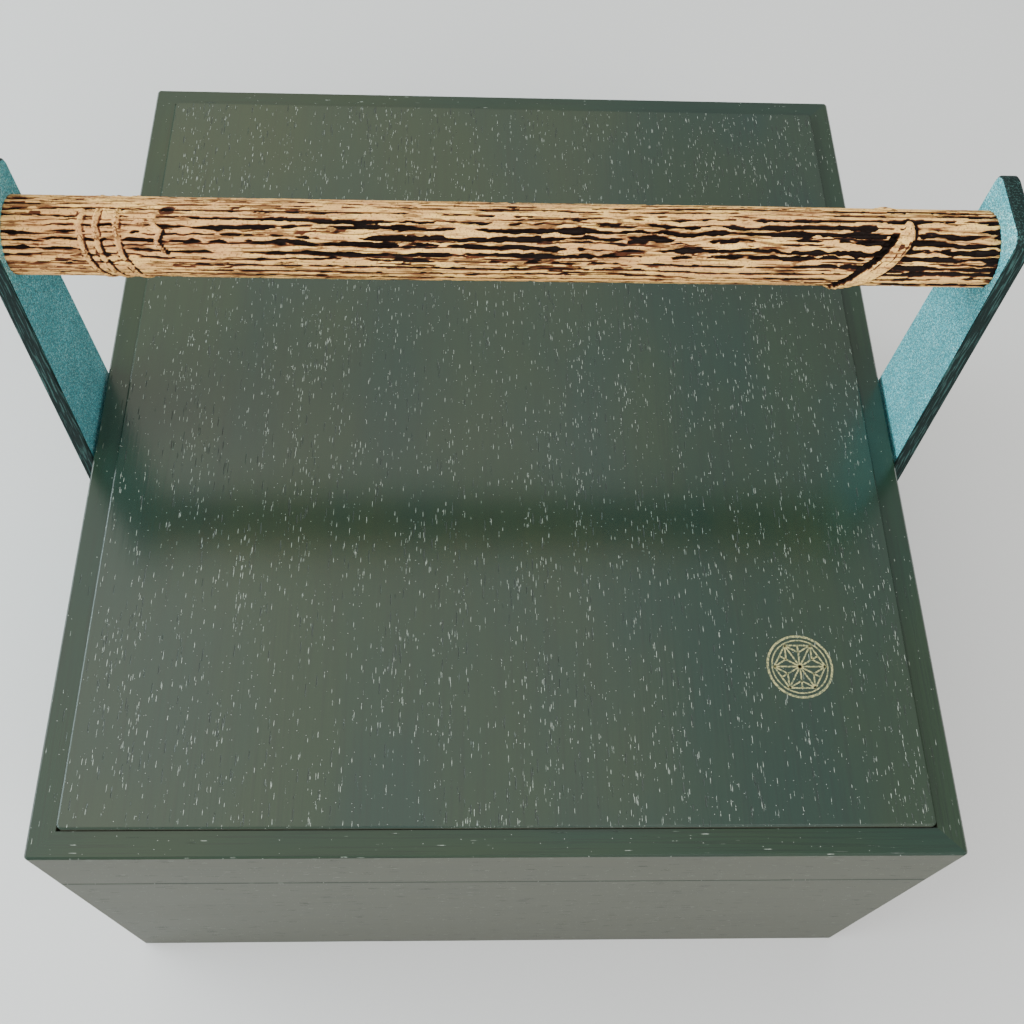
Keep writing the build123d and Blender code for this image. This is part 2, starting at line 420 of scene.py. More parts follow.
@dataclass(frozen=True)
class FlakeLacquer(Finish):
    """Teal lacquer full of metal flake with painted glints on the broad faces; dark and lined along
    the edges, the darkness partly painted shade.
    """

    name: str = "plate_flake_lacquer"
    teal: Colour = (0.026, 0.170, 0.195)
    pale_flake: Colour = (0.19, 0.76, 0.86)
    # painted glint colour of the flakes that would catch the light
    flake_glint: Colour = (0.60, 1.0, 1.0)
    # near-black narrow faces: partly a dark edge lacquer, partly painted shade
    edge: Colour = (0.004, 0.012, 0.011)
    edge_line: Colour = (0.05, 0.13, 0.12)
    flake: float = 0.28 * MM

    def paint(self, bench: Bench) -> None:
        """Random flakes in two sizes over teal, the second size painted glints, and a dark grained
        lacquer where a face is narrow, partly painted shade.

        Args:
            bench: the material's bench.
        """
        broad = abs(bench.facing().part(0)).step(0.75, 0.95)
        shade = bench.cells(bench.place(), 1.0 / self.flake, "Color").part(0)
        flake_glint = bench.cells(bench.place(), 0.9 / self.flake, "Color").part(1)
        cloud = bench.noise(bench.place(), 60.0, 3.0)
        flakes = bench.mix(shade.step(0.25, 1.0), self.teal, self.pale_flake)
        # Painted glints: a few flake cells turn nearly white
        flakes = bench.mix(flake_glint.step(0.86, 0.90), flakes, self.flake_glint)
        flakes = bench.mix(cloud.step(0.7, 0.3) * 0.25, flakes, self.teal)
        lines = bench.noise(bench.grain(Axis.Z, 60 * MM, 0.45 * MM), detail=1.0).step(0.54, 0.62)
        # The narrow faces' dark rim colour is partly painted shade
        rim = bench.mix(lines * (0.2 + 0.5 * shade), self.edge, self.edge_line)
        bench.surface(
            Base_Color=bench.mix(broad, rim, flakes),
            Metallic=0.25 * broad * shade,
            Roughness=0.36 + 0.2 * shade + 0.3 * (1.0 - broad),
            Specular_IOR_Level=0.2,
            Coat_Weight=0.4 * broad,
            Coat_Roughness=0.18,
            Normal=bench.bump(shade * broad * 0.5 + lines * (1.0 - broad), 0.08 * MM),
        )


@dataclass(frozen=True)
class RidgedCulm(Finish):
    """Skin of the old culm: cream crests, red-brown flanks and black-brown grooves."""

    name: str = "ridged_culm_skin"
    cream: Colour = (1.0, 0.63, 0.19)
    tan: Colour = (0.80, 0.46, 0.155)
    rose: Colour = (0.48, 0.21, 0.10)
    flank: Colour = (0.115, 0.033, 0.013)
    char: Colour = (0.008, 0.004, 0.003)

    def paint(self, bench: Bench) -> None:
        """Colour by the stain and painted shade stored on the mesh, with hair lines, fibres and
        fine specks.

        Args:
            bench: the material's bench.
        """
        stain_and_shade = bench.add("ShaderNodeAttribute", {"attribute_name": "stain_and_shade"}, output="Fac")
        blush = bench.add("ShaderNodeAttribute", {"attribute_name": "blush"}, output="Fac")
        fibres = bench.noise(bench.grain(Axis.X, 7.0 * MM, 0.40 * MM), detail=3.0)
        mottle = bench.noise(bench.grain(Axis.X, 12.0 * MM, 2.5 * MM), detail=3.0)
        grit = bench.noise(bench.place(), 1.0 / (0.7 * MM), 2.0)
        veins = bench.noise(bench.grain(Axis.X, 26.0 * MM, 2.0 * MM), detail=3.0)
        patches = bench.noise(bench.grain(Axis.X, 18.0 * MM, 5.0 * MM), detail=1.0)
        hairs = abs(veins - 0.5).step(0.045, 0.010) * patches.step(0.36, 0.52)
        skin = bench.mix(mottle.step(0.40, 0.66), self.tan, self.cream)
        skin = bench.mix(blush, skin, self.rose)
        skin = bench.mix(fibres.step(0.48, 0.66) * 0.55, skin, self.rose)
        skin = bench.mix(grit.step(0.56, 0.68) * 0.55, skin, self.flank)
        skin = bench.mix(hairs * 0.8, skin, self.flank)
        depth = stain_and_shade + (fibres - 0.5) * 0.30
        skin = bench.mix(depth.step(0.14, 0.36), skin, self.flank)
        skin = bench.mix(depth.step(0.34, 0.62), skin, self.char)
        bench.surface(
            Base_Color=skin,
            Roughness=0.48 + 0.25 * grit,
            Specular_IOR_Level=0.1,
            Normal=bench.bump(fibres * 0.5 + grit * 0.5 - hairs * 0.6, 0.48 * MM),
        )


@dataclass(frozen=True)
class PlainTimber(Finish):
    """Timber under oil or thin lacquer: growth lines, fibres and small pores along the grain."""

    name: str
    grain: Axis
    pale: Colour
    dark: Colour
    line: float = 3.5 * MM
    roughness: float = 0.5
    coat: float = 0.0

    def paint(self, bench: Bench) -> None:
        """Wavering growth lines mixed with fibres and pores.

        Args:
            bench: the material's bench.
        """
        growth = bench.noise(bench.grain(self.grain, 160 * MM, self.line), detail=3.0)
        fibres = bench.noise(bench.grain(self.grain, 12 * MM, 0.4 * MM), detail=2.0)
        pores = bench.noise(bench.grain(self.grain, 5 * MM, 0.5 * MM), detail=0.0)
        pores = pores.step(0.68, 0.74)
        wood = bench.mix(growth.step(0.35, 0.65), self.pale, self.dark)
        wood = bench.mix(fibres.step(0.45, 0.8) * 0.4, wood, self.dark)
        wood = bench.mix(pores * 0.5, wood, self.dark)
        bench.surface(
            Base_Color=wood,
            Roughness=self.roughness + 0.15 * fibres,
            Coat_Weight=self.coat,
            Coat_Roughness=0.25,
            Normal=bench.bump(fibres * 0.5 - pores, 0.08 * MM),
        )


@dataclass(frozen=True)
class SmokedBamboo(Finish):
    """Smoked bamboo of pegs and dowels: fibre bundles along X, seen as dots on the ends."""

    name: str = "smoked_bamboo"
    pale: Colour = (0.30, 0.17, 0.08)
    dark: Colour = (0.07, 0.035, 0.018)
    bundle: float = 0.45 * MM

    def paint(self, bench: Bench) -> None:
        """Dark fibre bundles in a paler ground.

        Args:
            bench: the material's bench.
        """
        bundles = bench.cells(bench.grain(Axis.X, 30 * MM, self.bundle), 1.0)
        ground = bench.noise(bench.place(), 300.0, 3.0)
        dots = bundles.step(0.42, 0.22)
        wood = bench.mix(ground.step(0.3, 0.7), self.pale, self.dark)
        bench.surface(
            Base_Color=bench.mix(dots * 0.8, wood, self.dark),
            Roughness=0.38 + 0.2 * ground,
            Coat_Weight=0.3,
            Coat_Roughness=0.2,
            Normal=bench.bump(dots, 0.03 * MM),
        )


@dataclass(frozen=True)
class RubbedGold(Finish):
    """Gold lacquer that has rubbed thin: pale olive gold with the green showing through."""

    name: str = "rubbed_gold_leaf"
    gold: Colour = (0.47, 0.43, 0.20)
    bare: Colour = (0.10, 0.12, 0.07)

    def paint(self, bench: Bench) -> None:
        """Speckled gold.

        Args:
            bench: the material's bench.
        """
        rub = bench.noise(bench.place(), 1400.0, 4.0)
        speckle = rub.step(0.40, 0.58)
        bench.surface(
            Base_Color=bench.mix(speckle, self.bare, self.gold),
            Metallic=0.35 * speckle,
            Roughness=0.55 - 0.2 * speckle,
            Normal=bench.bump(rub, 0.02 * MM),
        )


@dataclass(frozen=True)
class StudioFloor(Finish):
    """Plain pale floor, with a paper tooth too fine to see from the camera."""

    name: str = "studio_floor"
    pale: float = 0.60

    def paint(self, bench: Bench) -> None:
        """Pale matt grey.

        Args:
            bench: the material's bench.
        """
        tooth = bench.noise(bench.place(), 500.0, 2.0)
        pale = bench.mix(tooth, (self.pale,) * 3, (self.pale * 1.02,) * 3)
        bench.surface(Base_Color=pale, Roughness=0.9, Specular_IOR_Level=0.1)


# ------------------------------------------------------------------------ studio
@dataclass(frozen=True)
class Lamp:
    """One lamp with a soft face: its centre, the point that it faces, its size and light."""

    name: str
    place: Point
    aim: Point
    size: tuple[float, float]
    power: float  # watts
    tint: Colour

    def hang(self) -> None:
        """Hang it in the studio."""
        light = bpy.data.lights.new(self.name, "AREA")
        light.shape = "RECTANGLE"
        light.size, light.size_y = self.size
        light.energy = self.power
        light.color = self.tint
        lamp = bpy.data.objects.new(self.name, light)
        lamp.location = self.place
        run = Vector(self.aim) - Vector(self.place)
        lamp.rotation_euler = run.to_track_quat("-Z", "Y").to_euler()
        bpy.context.scene.collection.objects.link(lamp)


@dataclass(frozen=True)
class Softbox:
    """One lamp under the ceiling, from the left wall to its right edge."""

    right_edge: float
    front_edge: float
    back_edge: float
    glow: float
    tint: Colour


GLOW_WATTS = 4.0  # watts to each square metre of a softbox with a glow of 1
COOL_CLOTH = (1.0, 0.93, 0.74)
WARM_CLOTH = (1.0, 0.90, 0.45)


@dataclass
class Studio:
    """Camera at the photograph's viewing angle, soft lamps and a pale floor.

    The lid mirrors the softboxes under the ceiling: cool ones over it, warm ones beyond.
    """

    rim_height: float
    camera_from_rim: Point = (-0.01296, -0.25284, 0.38811)
    camera_turn: Point = (0.4942, -0.0377, -0.0132)
    lens: float = 42.414
    film_width: float = 36.0
    nearest_view: float = 0.01
    floor_size: float = 60.0
    left_wall: float = -1.5
    ceiling: float = 1.75
    lamps: tuple[Lamp, ...] = (
        Lamp(
            "window_lamp", place=(-1.45, 0.05, 0.72), aim=(0.0, 0.0, 0.165), size=(1.7, 0.32),
            power=32.0, tint=(0.86, 1.0, 1.05),
        ),
        Lamp(
            "front_softbox", place=(0.5, -1.25, 1.30), aim=(0.1, 0.0, 0.2), size=(1.2, 1.2),
            power=33.0, tint=(1.0, 0.98, 0.94),
        ),
    )
    softboxes: tuple[Softbox, ...] = (
        Softbox(-0.38, -0.05, 0.97, 0.82, COOL_CLOTH),
        Softbox(-0.05, -0.05, 0.97, 0.44, COOL_CLOTH),
        Softbox(0.35, -0.05, 1.12, 0.40, COOL_CLOTH),
        Softbox(-0.38, 1.48, 2.10, 0.72, WARM_CLOTH),
        Softbox(-0.05, 1.46, 2.10, 0.50, WARM_CLOTH),
        Softbox(0.35, 1.27, 1.95, 0.42, WARM_CLOTH),
    )
    room_left: float = 1.80
    room_right: float = 0.25
    room_tint: Colour = (0.97, 1.0, 1.0)

    def build(self) -> None:
        """Make the camera, the floor, the room's light and the lamps."""
        self.make_camera()
        self.make_floor()
        self.light_room()
        lamps = list(self.lamps)
        for number, box in enumerate(self.softboxes, start=1):
            width, depth = box.right_edge - self.left_wall, box.back_edge - box.front_edge
            x, y = self.left_wall + width / 2, box.front_edge + depth / 2
            lamps.append(Lamp(
                f"ceiling_softbox_{number}", place=(x, y, self.ceiling), aim=(x, y, 0.0),
                size=(width, depth), power=box.glow * GLOW_WATTS * width * depth, tint=box.tint,
            ))
        for lamp in lamps:
            lamp.hang()
        log.info("studio: camera, floor and %d lamps", len(lamps))

    def make_camera(self) -> None:
        """Set the camera that was solved from the corners of the lid and the case."""
        camera = bpy.data.objects.new("photo_camera", bpy.data.cameras.new("photo_camera"))
        camera.data.lens = self.lens
        camera.data.sensor_width = self.film_width
        camera.location = Vector(self.camera_from_rim) + Vector((0.0, 0.0, self.rim_height))
        camera.rotation_euler = self.camera_turn
        camera.data.clip_start = self.nearest_view
        bpy.context.scene.collection.objects.link(camera)
        bpy.context.scene.camera = camera

    def make_floor(self) -> None:
        """Lay the floor that the box stands on."""
        half = self.floor_size / 2
        mesh = bpy.data.meshes.new("floor")
        mesh.from_pydata(
            [(-half, -half, 0), (half, -half, 0), (half, half, 0), (-half, half, 0)],
            [], [(0, 1, 2, 3)],
        )
        floor = bpy.data.objects.new("floor", mesh)
        bpy.context.scene.collection.objects.link(floor)
        StudioFloor().dress(floor)

    def light_room(self) -> None:
        """Fill light from the room, brighter on the left; the backdrop itself stays pale."""
        world = bpy.data.worlds.new("room")
        bpy.context.scene.world = world
        world.use_nodes = True
        bench = Bench(world.node_tree)
        direction = bench.add("ShaderNodeTexCoord", output="Generated")
        sideways = 0.95 * direction.part(0) - 0.10 * direction.part(1)
        glow = self.room_right + (self.room_left - self.room_right) * sideways.step(0.7, -0.7)
        fill, backdrop = (
            bench.add("ShaderNodeBackground", {}, {"Color": tint, "Strength": strength})
            for tint, strength in ((self.room_tint, glow), ((PAPER_GREY,) * 3, 1.0))
        )
        path = bench.add("ShaderNodeLightPath", output="Is Camera Ray")
        shown = path.peak(path.out("Is Glossy Ray")).peak(path.out("Is Transmission Ray"))
        mixed = bench.add("ShaderNodeMixShader", {}, {0: shown, 1: fill, 2: backdrop})
        bench.add("ShaderNodeOutputWorld", {}, {"Surface": mixed})


# -------------------------------------------------------------------- sub-assemblies
SHARP_ANGLE = math.radians(30)  # the least turn at an edge that is rounded
WELD_GAP = 0.001 * MM


def soften(piece: bpy.types.Object, width: float) -> None:
    """Round the broken edges of a frame piece, as lacquer does.

    Args:
        piece: the piece.
        width: how far each rounding reaches from its edge, in metres.
    """
    weld = piece.modifiers.new("joined_corners", "WELD")
    weld.merge_threshold = WELD_GAP
    rounding = piece.modifiers.new("lacquer_rounding", "BEVEL")
    rounding.width = width
    rounding.segments = 2
    rounding.limit_method = "ANGLE"
    rounding.angle_limit = SHARP_ANGLE
    rounding.harden_normals = True


def mesh_piece(
    name: str, points: np.ndarray, faces: list, body: str, finish: Finish
) -> bpy.types.Object:
    """Make a piece from its points and faces, dress it and let it ride on a body.

    Args:
        name: the piece's name.
        points: its points in metres, one to a row.
        faces: its faces, as lists of point numbers.
        body: the body that it rides on.
        finish: what it wears.

    Returns:
        The new piece.
    """
    mesh = bpy.data.meshes.new(name)
    mesh.from_pydata(points.tolist(), [], faces)
    mesh.validate()
    piece = bpy.data.objects.new(name, mesh)
    bpy.context.scene.collection.objects.link(piece)
    finish.dress(piece)
    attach(piece, body)
    return piece


@dataclass
class Lid:
    """Four mitred boards and the raised panel, with a small gold ornament on it."""

    edge_rounding: float = 0.22 * MM
    panel_rounding: float = 0.38 * MM
    ornament_place: tuple[float, float] = (102.7 * MM, -104.3 * MM)
    ornament_width: float = 23.0 * MM

    def build(self) -> None:
        """Dress the boards and the panel, and lay the ornament."""
        for side in SIDES:
            board = NODES[f"lid_{side}"]
            board_lacquer("lid", board_grain(side)).dress(board)
            soften(board, self.edge_rounding)
            log.info("lid: %s board dressed", side)
        PoredLacquer(name="panel_pored_lacquer", grain=Axis.Y).dress(NODES["lid_panel"])
        soften(NODES["lid_panel"], self.panel_rounding)
        ornament = LidOrnament(self.ornament_place, self.ornament_width).build()
        log.info("lid: panel dressed, %s laid", ornament.name)


@dataclass
class LidOrnament:
    """Gold ornament on the panel: a six-fold hemp-leaf star inside two rings."""

    place: tuple[float, float]
    width: float
    line: float = 0.75 * MM
    height: float = 0.05 * MM
    ring_steps: int = 72
    # In widths of the line: where the inner ring and the star begin, the inner ring's own
    # width, and half of a stroke's
    inner_ring: float = 2.2
    star_inset: float = 3.4
    inner_line: float = 0.6
    half_stroke: float = 0.35
    points: list[Point] = field(default_factory=list)
    faces: list[list[int]] = field(default_factory=list)

    def build(self) -> bpy.types.Object:
        """Make the rings and strokes as one piece on the panel.

        Returns:
            The ornament.
        """
        radius = self.width / 2
        self.add_ring(radius, self.line)
        self.add_ring(radius - self.inner_ring * self.line, self.inner_line * self.line)
        reach = radius - self.star_inset * self.line
        for sixth in range(6):
            self.add_leaf(reach, math.radians(60 * sixth))
        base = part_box("lid_panel")[1].z
        shift = np.array([*self.place, base])
        return mesh_piece(
            "lid_ornament", np.array(self.points) + shift, self.faces, "lid", RubbedGold(),
        )

    def add_leaf(self, reach: float, turn: float) -> None:
        """Add one sixth of the star: its spoke, its rim stroke and the two leaf veins.

        Args:
            reach: distance from the centre to the tips.
            turn: angle of the spoke.
        """
        centre, twelfth = (0.0, 0.0), math.radians(30)
        tip = self.at(reach, turn)
        next_tip = self.at(reach, turn + 2 * twelfth)
        heart = self.at(reach / math.sqrt(3), turn + twelfth)
        rim = self.at(reach * math.cos(twelfth), turn + twelfth)
        for start, end in (
            (centre, tip), (tip, next_tip), (tip, heart), (next_tip, heart), (centre, heart),
            (heart, rim),
        ):
            self.add_stroke(start, end)

    @staticmethod
    def at(distance: float, turn: float) -> tuple[float, float]:
        """Point at a distance and angle from the centre."""
        return (distance * math.cos(turn), distance * math.sin(turn))

    def add_stroke(self, start: tuple[float, float], end: tuple[float, float]) -> None:
        """Add a straight raised stroke.

        Args:
            start: its first end.
            end: its other end.
        """
        run = Vector((end[0] - start[0], end[1] - start[1], 0.0))
        side = run.normalized().cross(Vector((0, 0, 1))) * (self.half_stroke * self.line)
        start, end = Vector((*start, 0)), Vector((*end, 0))
        corners = (start - side, start + side, end + side, end - side)
        self.add_loops([[(v.x, v.y, z) for v in corners] for z in (0.0, self.height)])

    def add_ring(self, radius: float, width: float) -> None:
        """Add a flat raised ring.

        Args:
            radius: its outer radius.
            width: its width.
        """
        bore = radius - width
        turns = [2 * math.pi * step / self.ring_steps for step in range(self.ring_steps)]
        rows = ((radius, 0.0), (radius, self.height), (bore, self.height), (bore, 0.0))
        self.add_loops([[(*self.at(r, turn), z) for turn in turns] for r, z in rows])

    def add_loops(self, loops: list[list[Point]]) -> None:
        """Add a closed solid whose loops of points join up one after the other.

        Args:
            loops: its loops. Two are closed by a face each, and with more the last joins
                the first.
        """
        count = len(loops[0])
        starts = [len(self.points) + count * n for n in range(len(loops))]
        self.points += [point for loop in loops for point in loop]
        if len(loops) == 2:
            low, high = ([start + n for n in range(count)] for start in starts)
            self.faces += [low[::-1], high]
        else:
            starts.append(starts[0])
        for low, high in zip(starts, starts[1:]):
            for n in range(count):
                after = (n + 1) % count
                self.faces.append([low + n, low + after, high + after, high + n])


@dataclass
class Case:
    """Four mitred case boards, the bottom, the collar and the ledges of the tray."""

    edge_rounding: float = 0.2 * MM
    inner_pale: Colour = (0.040, 0.034, 0.028)
    inner_dark: Colour = (0.022, 0.018, 0.015)

    def build(self) -> None:
        """Dress every piece of the case."""
        for side in SIDES:
            board, grain = NODES[f"case_{side}"], board_grain(side)
            board_lacquer("case", grain).dress(board)
            soften(board, self.edge_rounding)
            self.inner_lacquer(grain).dress(NODES[f"collar_{side}"])
            log.info("case: %s board and collar dressed", side)
        for side in ("left", "right"):
            self.inner_lacquer(Axis.Y).dress(NODES[f"tray_ledge_{side}"])
        bottom = PlainTimber(
            name="inner_lacquer_bottom", grain=Axis.X,
            pale=(0.044, 0.038, 0.031), dark=(0.024, 0.020, 0.016), line=6.0 * MM, coat=0.3,
        )
        bottom.dress(NODES["case_bottom"])
        log.info("case: ledges and bottom dressed")

    def inner_lacquer(self, grain: Axis) -> PlainTimber:
        """The thin dark lacquer inside.

        Args:
            grain: the grain of the piece that wears it.

        Returns:
            The finish.
        """
        return PlainTimber(
            name=f"inner_lacquer_{grain.name.lower()}", grain=grain, pale=self.inner_pale,
            dark=self.inner_dark, coat=0.4,
        )


@dataclass
class Tray:
    """The lift-out tray of light oiled wood."""

    pale: Colour = (0.60, 0.43, 0.25)
    dark: Colour = (0.40, 0.25, 0.13)

    def build(self) -> None:
        """Dress its boards and bottom."""
        for side in SIDES:
            grain = board_grain(side)
            self.dress(f"tray_{side}", PlainTimber(
                name=f"tray_wood_{grain.name.lower()}", grain=grain, pale=self.pale,
                dark=self.dark,
            ))
        self.dress("tray_bottom", PlainTimber(
            name="tray_wood_bottom", grain=Axis.Y, pale=self.pale, dark=self.dark, line=7.0 * MM
        ))

    def dress(self, node: str, wood: PlainTimber) -> None:
        """Dress one piece and say so."""
        wood.dress(NODES[node])
        log.info("tray: %s dressed", node)


@dataclass
class Handle:
    """Two flake-lacquered plates with their packing, pegs and dowels, and the culm bar."""

    edge_rounding: float = 0.25 * MM

    def build(self) -> None:
        """Dress the plates and what fixes them, and build the bar."""
        packing = PlainTimber(
            name="dark_packing_wood", grain=Axis.Z, pale=(0.035, 0.028, 0.020),
            dark=(0.018, 0.014, 0.011), roughness=0.7,
        )
        finishes = {
            "plate": FlakeLacquer(), "packing": packing, "pegs": SmokedBamboo(),
            "dowel": SmokedBamboo(),
        }
        for side in ("left", "right"):
            for part, finish in finishes.items():
                finish.dress(NODES[f"handle_{part}_{side}"])
            soften(NODES[f"handle_plate_{side}"], self.edge_rounding)
            log.info("handle: %s plate and its fixing dressed", side)
        bar = CulmBar().build()
        log.info("handle: %s has %d faces", bar.name, len(bar.data.polygons))


class SkinNoise:
    """Seeded smooth noise over the skin of the bar, which closes on itself round the bar."""

    reach = 200.0  # millimetres covered on each side of the bar's middle

    def __init__(self, seed: int, girth: float, along: float, around: float) -> None:
        """Draw the lattice.

        Args:
            seed: seed of its random numbers.
            girth: length round the bar, in millimetres.
            along: size of a lattice cell along the bar.
            around: size of a cell round the bar, fitted to the girth.
        """
        self.columns = max(3, round(girth / around))
        self.around = girth / self.columns
        self.along = along
        self.rows = int(2 * self.reach / along) + 4
        self.lattice = np.random.default_rng(seed).uniform(-1, 1, (self.rows, self.columns))

    def __call__(self, along: np.ndarray, around: np.ndarray | float) -> np.ndarray:
        """Noise from -1 to 1.

        Args:
            along: places along the bar, in millimetres from its middle.
            around: places round the bar, in millimetres.

        Returns:
            The noise at each place.
        """
        u = (along + self.reach) / self.along
        v = np.asarray(around) / self.around
        row, column = np.floor(u).astype(int), np.floor(v).astype(int)
        s, t = u - row, v - column
        s, t = s * s * (3 - 2 * s), t * t * (3 - 2 * t)
        row = np.clip(row, 0, self.rows - 2)
        left, right = column % self.columns, (column + 1) % self.columns
        near = self.lattice[row, left] * (1 - t) + self.lattice[row, right] * t
        far = self.lattice[row + 1, left] * (1 - t) + self.lattice[row + 1, right] * t
        return near * (1 - s) + far * s


def rise(value: np.ndarray, low: float, high: float) -> np.ndarray:
    """Smooth step from 0 at low to 1 at high."""
    share = np.clip((value - low) / (high - low), 0.0, 1.0)
    return share * share * (3 - 2 * share)


def mound(value: np.ndarray, middle: float, reach: float | np.ndarray, power: int) -> np.ndarray:
    """Hump of height 1 round a middle: a bell at a power of 2, flatter on top at 4."""
    return np.exp(-(((value - middle) / reach) ** power))


@dataclass
class CulmBar:
    """The ridged culm: broken lengthwise grooves, two leaning nodes and a bud scar.

    Places on its skin are in millimetres along the bar from its middle, and angles round it
    start at the line that faces up to the front and grow towards the top and back.
    """

    radius: float = 12.0
    facing: float = 49.0  # degrees above the front
    bore_radius: float = 7.1
    bore_depth: float = 26.1
    # Mesh: how much closer the columns stand on the facing side, and where the rows stand
    # closer, as middle, reach and added density
    columns: int = 160
    crowding: float = 0.5
    rows: int = 600
    row_crowds: tuple = ((-116.0, 10.0, 1.4), (113.0, 13.0, 1.0))
    # Grooves and thin lines, and what pushes them aside: seed, cell along, cell round, push
    lanes: int = 30
    fine_lanes: int = 44
    groove_depth: float = 0.95
    line_depth: float = 0.40
    warps: tuple = ((11, 11.0, 3.0, 0.50), (12, 3.2, 1.2, 0.32), (13, 1.3, 0.7, 0.16))
    groove_flank: float = 0.30  # width of the slope down into a groove
    chip_depth: float = 0.30
    pit_depth: float = 0.14
    crust_height: float = 0.10
    swell_height: float = 0.10
    clean_end: float = 1.6  # reach over which the grooves fade out towards the plates
    # Bold grooves: angle, reach and strength, on the facing side and on two others
    bold_front: tuple[float, float] = (0.10, 0.60)
    bold_sides: tuple = ((-2.0, 0.7, 0.8), (2.3, 0.6, 0.7))
    # Left node: middles and strengths of its rings, and how far they lean sideways and forwards
    left_rings: tuple = ((-123.6, 0.9), (-118.8, 0.9), (-112.8, 1.0))
    left_lean: tuple[float, float] = (-1.3, -4.8)
    ring_height: float = 0.52
    # Right node: the groove on its left and the edge on its right, each with its two leans
    scar_groove: tuple[float, float, float] = (111.0, 9.4, 5.1)
    scar_edge: tuple[float, float, float] = (111.5, 6.2, 11.6)
    scar_height: float = 0.72
    # Bud scar beside the left node: corners of its chevron along and round the bar, and its ridge
    bud: tuple = ((-107.4, 4.4), (-104.4, 2.0), (-105.9, -1.2), (-103.6, -4.6))
    bud_height: float = 0.75
    bud_width: float = 0.6

    @property
    def girth(self) -> float:
        """Length round the bar."""
        return 2 * math.pi * self.radius

    def build(self) -> bpy.types.Object:
        """Model the bar and let it stand for its frame node.

        Returns:
            The bar.
        """
        low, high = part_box("handle_bar")
        half = (high.x - low.x) / 2 / MM
        along = self.row_places(half)[:, None] + np.zeros((1, self.columns))
        angle = self.column_angles()[None, :] + np.zeros_like(along)
        height, stain_and_shade, blush = self.carve(along, angle)
        radius = (self.radius + height) * MM
        skin = self.wrap(along * MM, angle, radius, (low + high) / 2)
        bar = self.close(skin, half * MM, (low + high) / 2, stain_and_shade, blush)
        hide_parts("handle_bar")
        return bar

    def row_places(self, half: float) -> np.ndarray:
        """Places of the mesh rows along the bar, closer together at the nodes.

        Args:
            half: half the bar's length, in millimetres.

        Returns:
            The places, from one end to the other.
        """
        even = np.linspace(-half, half, 5 * self.rows)
        density = np.ones_like(even)
        for middle, reach, added in self.row_crowds:
            density += added * mound(even, middle, reach, 4)
        reached = np.cumsum(density)
        return np.interp(np.linspace(reached[0], reached[-1], self.rows), reached, even)

    def column_angles(self) -> np.ndarray:
        """Angles of the mesh columns, closer together on the facing side."""
        turn = np.linspace(0.0, 2 * math.pi, self.columns, endpoint=False)
        return turn - math.pi + self.crowding * np.sin(turn)

    def wrap(
        self, along: np.ndarray, angle: np.ndarray, radius: np.ndarray, centre: Vector
    ) -> np.ndarray:
        """Points on the bar for places on its skin.

        Args:
            along: places along the bar, in metres.
            angle: angles round it.
            radius: distances from its axis.
            centre: the middle of the bar.

        Returns:
            The points, with x, y and z last.
        """
        turn = math.radians(self.facing) + angle
        y = -radius * np.cos(turn) + centre.y
        z = radius * np.sin(turn) + centre.z
        return np.stack([along + centre.x, y, z], axis=-1)

    def noise(self, seed: int, along: float, around: float) -> SkinNoise:
        """Noise over this bar's skin with cells of that size in millimetres."""
        return SkinNoise(seed, self.girth, along, around)

    def carve(self, along: np.ndarray, angle: np.ndarray) -> tuple:
        """Relief and colour of the skin.

        Args:
            along: places along the bar.
            angle: angles round it.

        Returns:
            Height over the plain radius, stain with painted shade from 0 to 1, and blush from 0 to
            1.
        """
        around = angle * self.radius
        warp = sum(
            self.noise(seed, length, width)(along, around) * push
            for seed, length, width, push in self.warps
        )
        shift = self.noise(14, 3.0, 1.6)(along, around) * 1.6
        groove, line = self.grooves(along + shift, around, warp, angle)
        chips = rise(self.noise(15, 6.5, 0.8)(along, around + warp), 0.52, 0.72)
        chips = chips * rise(self.noise(16, 14, 8)(along, around), -0.1, 0.4)
        crust = self.noise(17, 1.6, 0.8)(along, around) * self.noise(18, 20, 8)(along, around)
        node, calm, node_stain_and_shade = self.nodes(along, angle)
        groove = groove * (1 - calm)
        line = line * (1 - 0.8 * calm)
        pits = rise(self.noise(21, 2.2, 0.9)(along + shift, around + warp), 0.35, 0.85)
        height = self.noise(19, 55.0, 14.0)(along, around) * self.swell_height
        height = height + self.crust_height * crust - self.pit_depth * pits
        cuts = self.groove_depth * groove + self.line_depth * line + self.chip_depth * chips
        inwards = rise(np.max(along) - np.abs(along), 0.0, self.clean_end)
        height = height + node - cuts * (0.25 + 0.75 * inwards)
        left = rise(-along, 50, 110)
        stain_and_shade = groove * (1.10 - 0.35 * left) + line * (0.72 - 0.2 * left) + chips * 0.45
        # Painted shade: the underside of the bar is darkened
        underside_shade = mound(angle, -2.4, 0.8, 4)
        stain_and_shade = stain_and_shade + node_stain_and_shade + 0.22 * underside_shade + 0.17 * pits * (1 - calm)
        blush = 0.10 + 0.28 * self.noise(20, 40, 9)(along, around) + 0.22 * left
        return height, np.clip(stain_and_shade, 0, 1), np.clip(blush, 0, 0.6)

    def boldness(self, along: np.ndarray, angle: np.ndarray) -> np.ndarray:
        """How bold the grooves are: deep and black on some sides, thin lines on others.

        Args:
            along: places along the bar.
            angle: angles round it.

        Returns:
            Boldness from 0 to 1.
        """
        share = 0.55 + 0.45 * rise(along, -120, 10) + 0.25 * rise(along, 10, 60)
        bold = mound(angle, *self.bold_front, 4) * share
        for side, reach, strength in self.bold_sides:
            bold = np.maximum(bold, strength * mound(angle, side, reach, 4))
        end = rise(along, 105, 120) * mound(angle, 0.0, 1.2, 4)
        return np.maximum(bold, 0.85 * end)

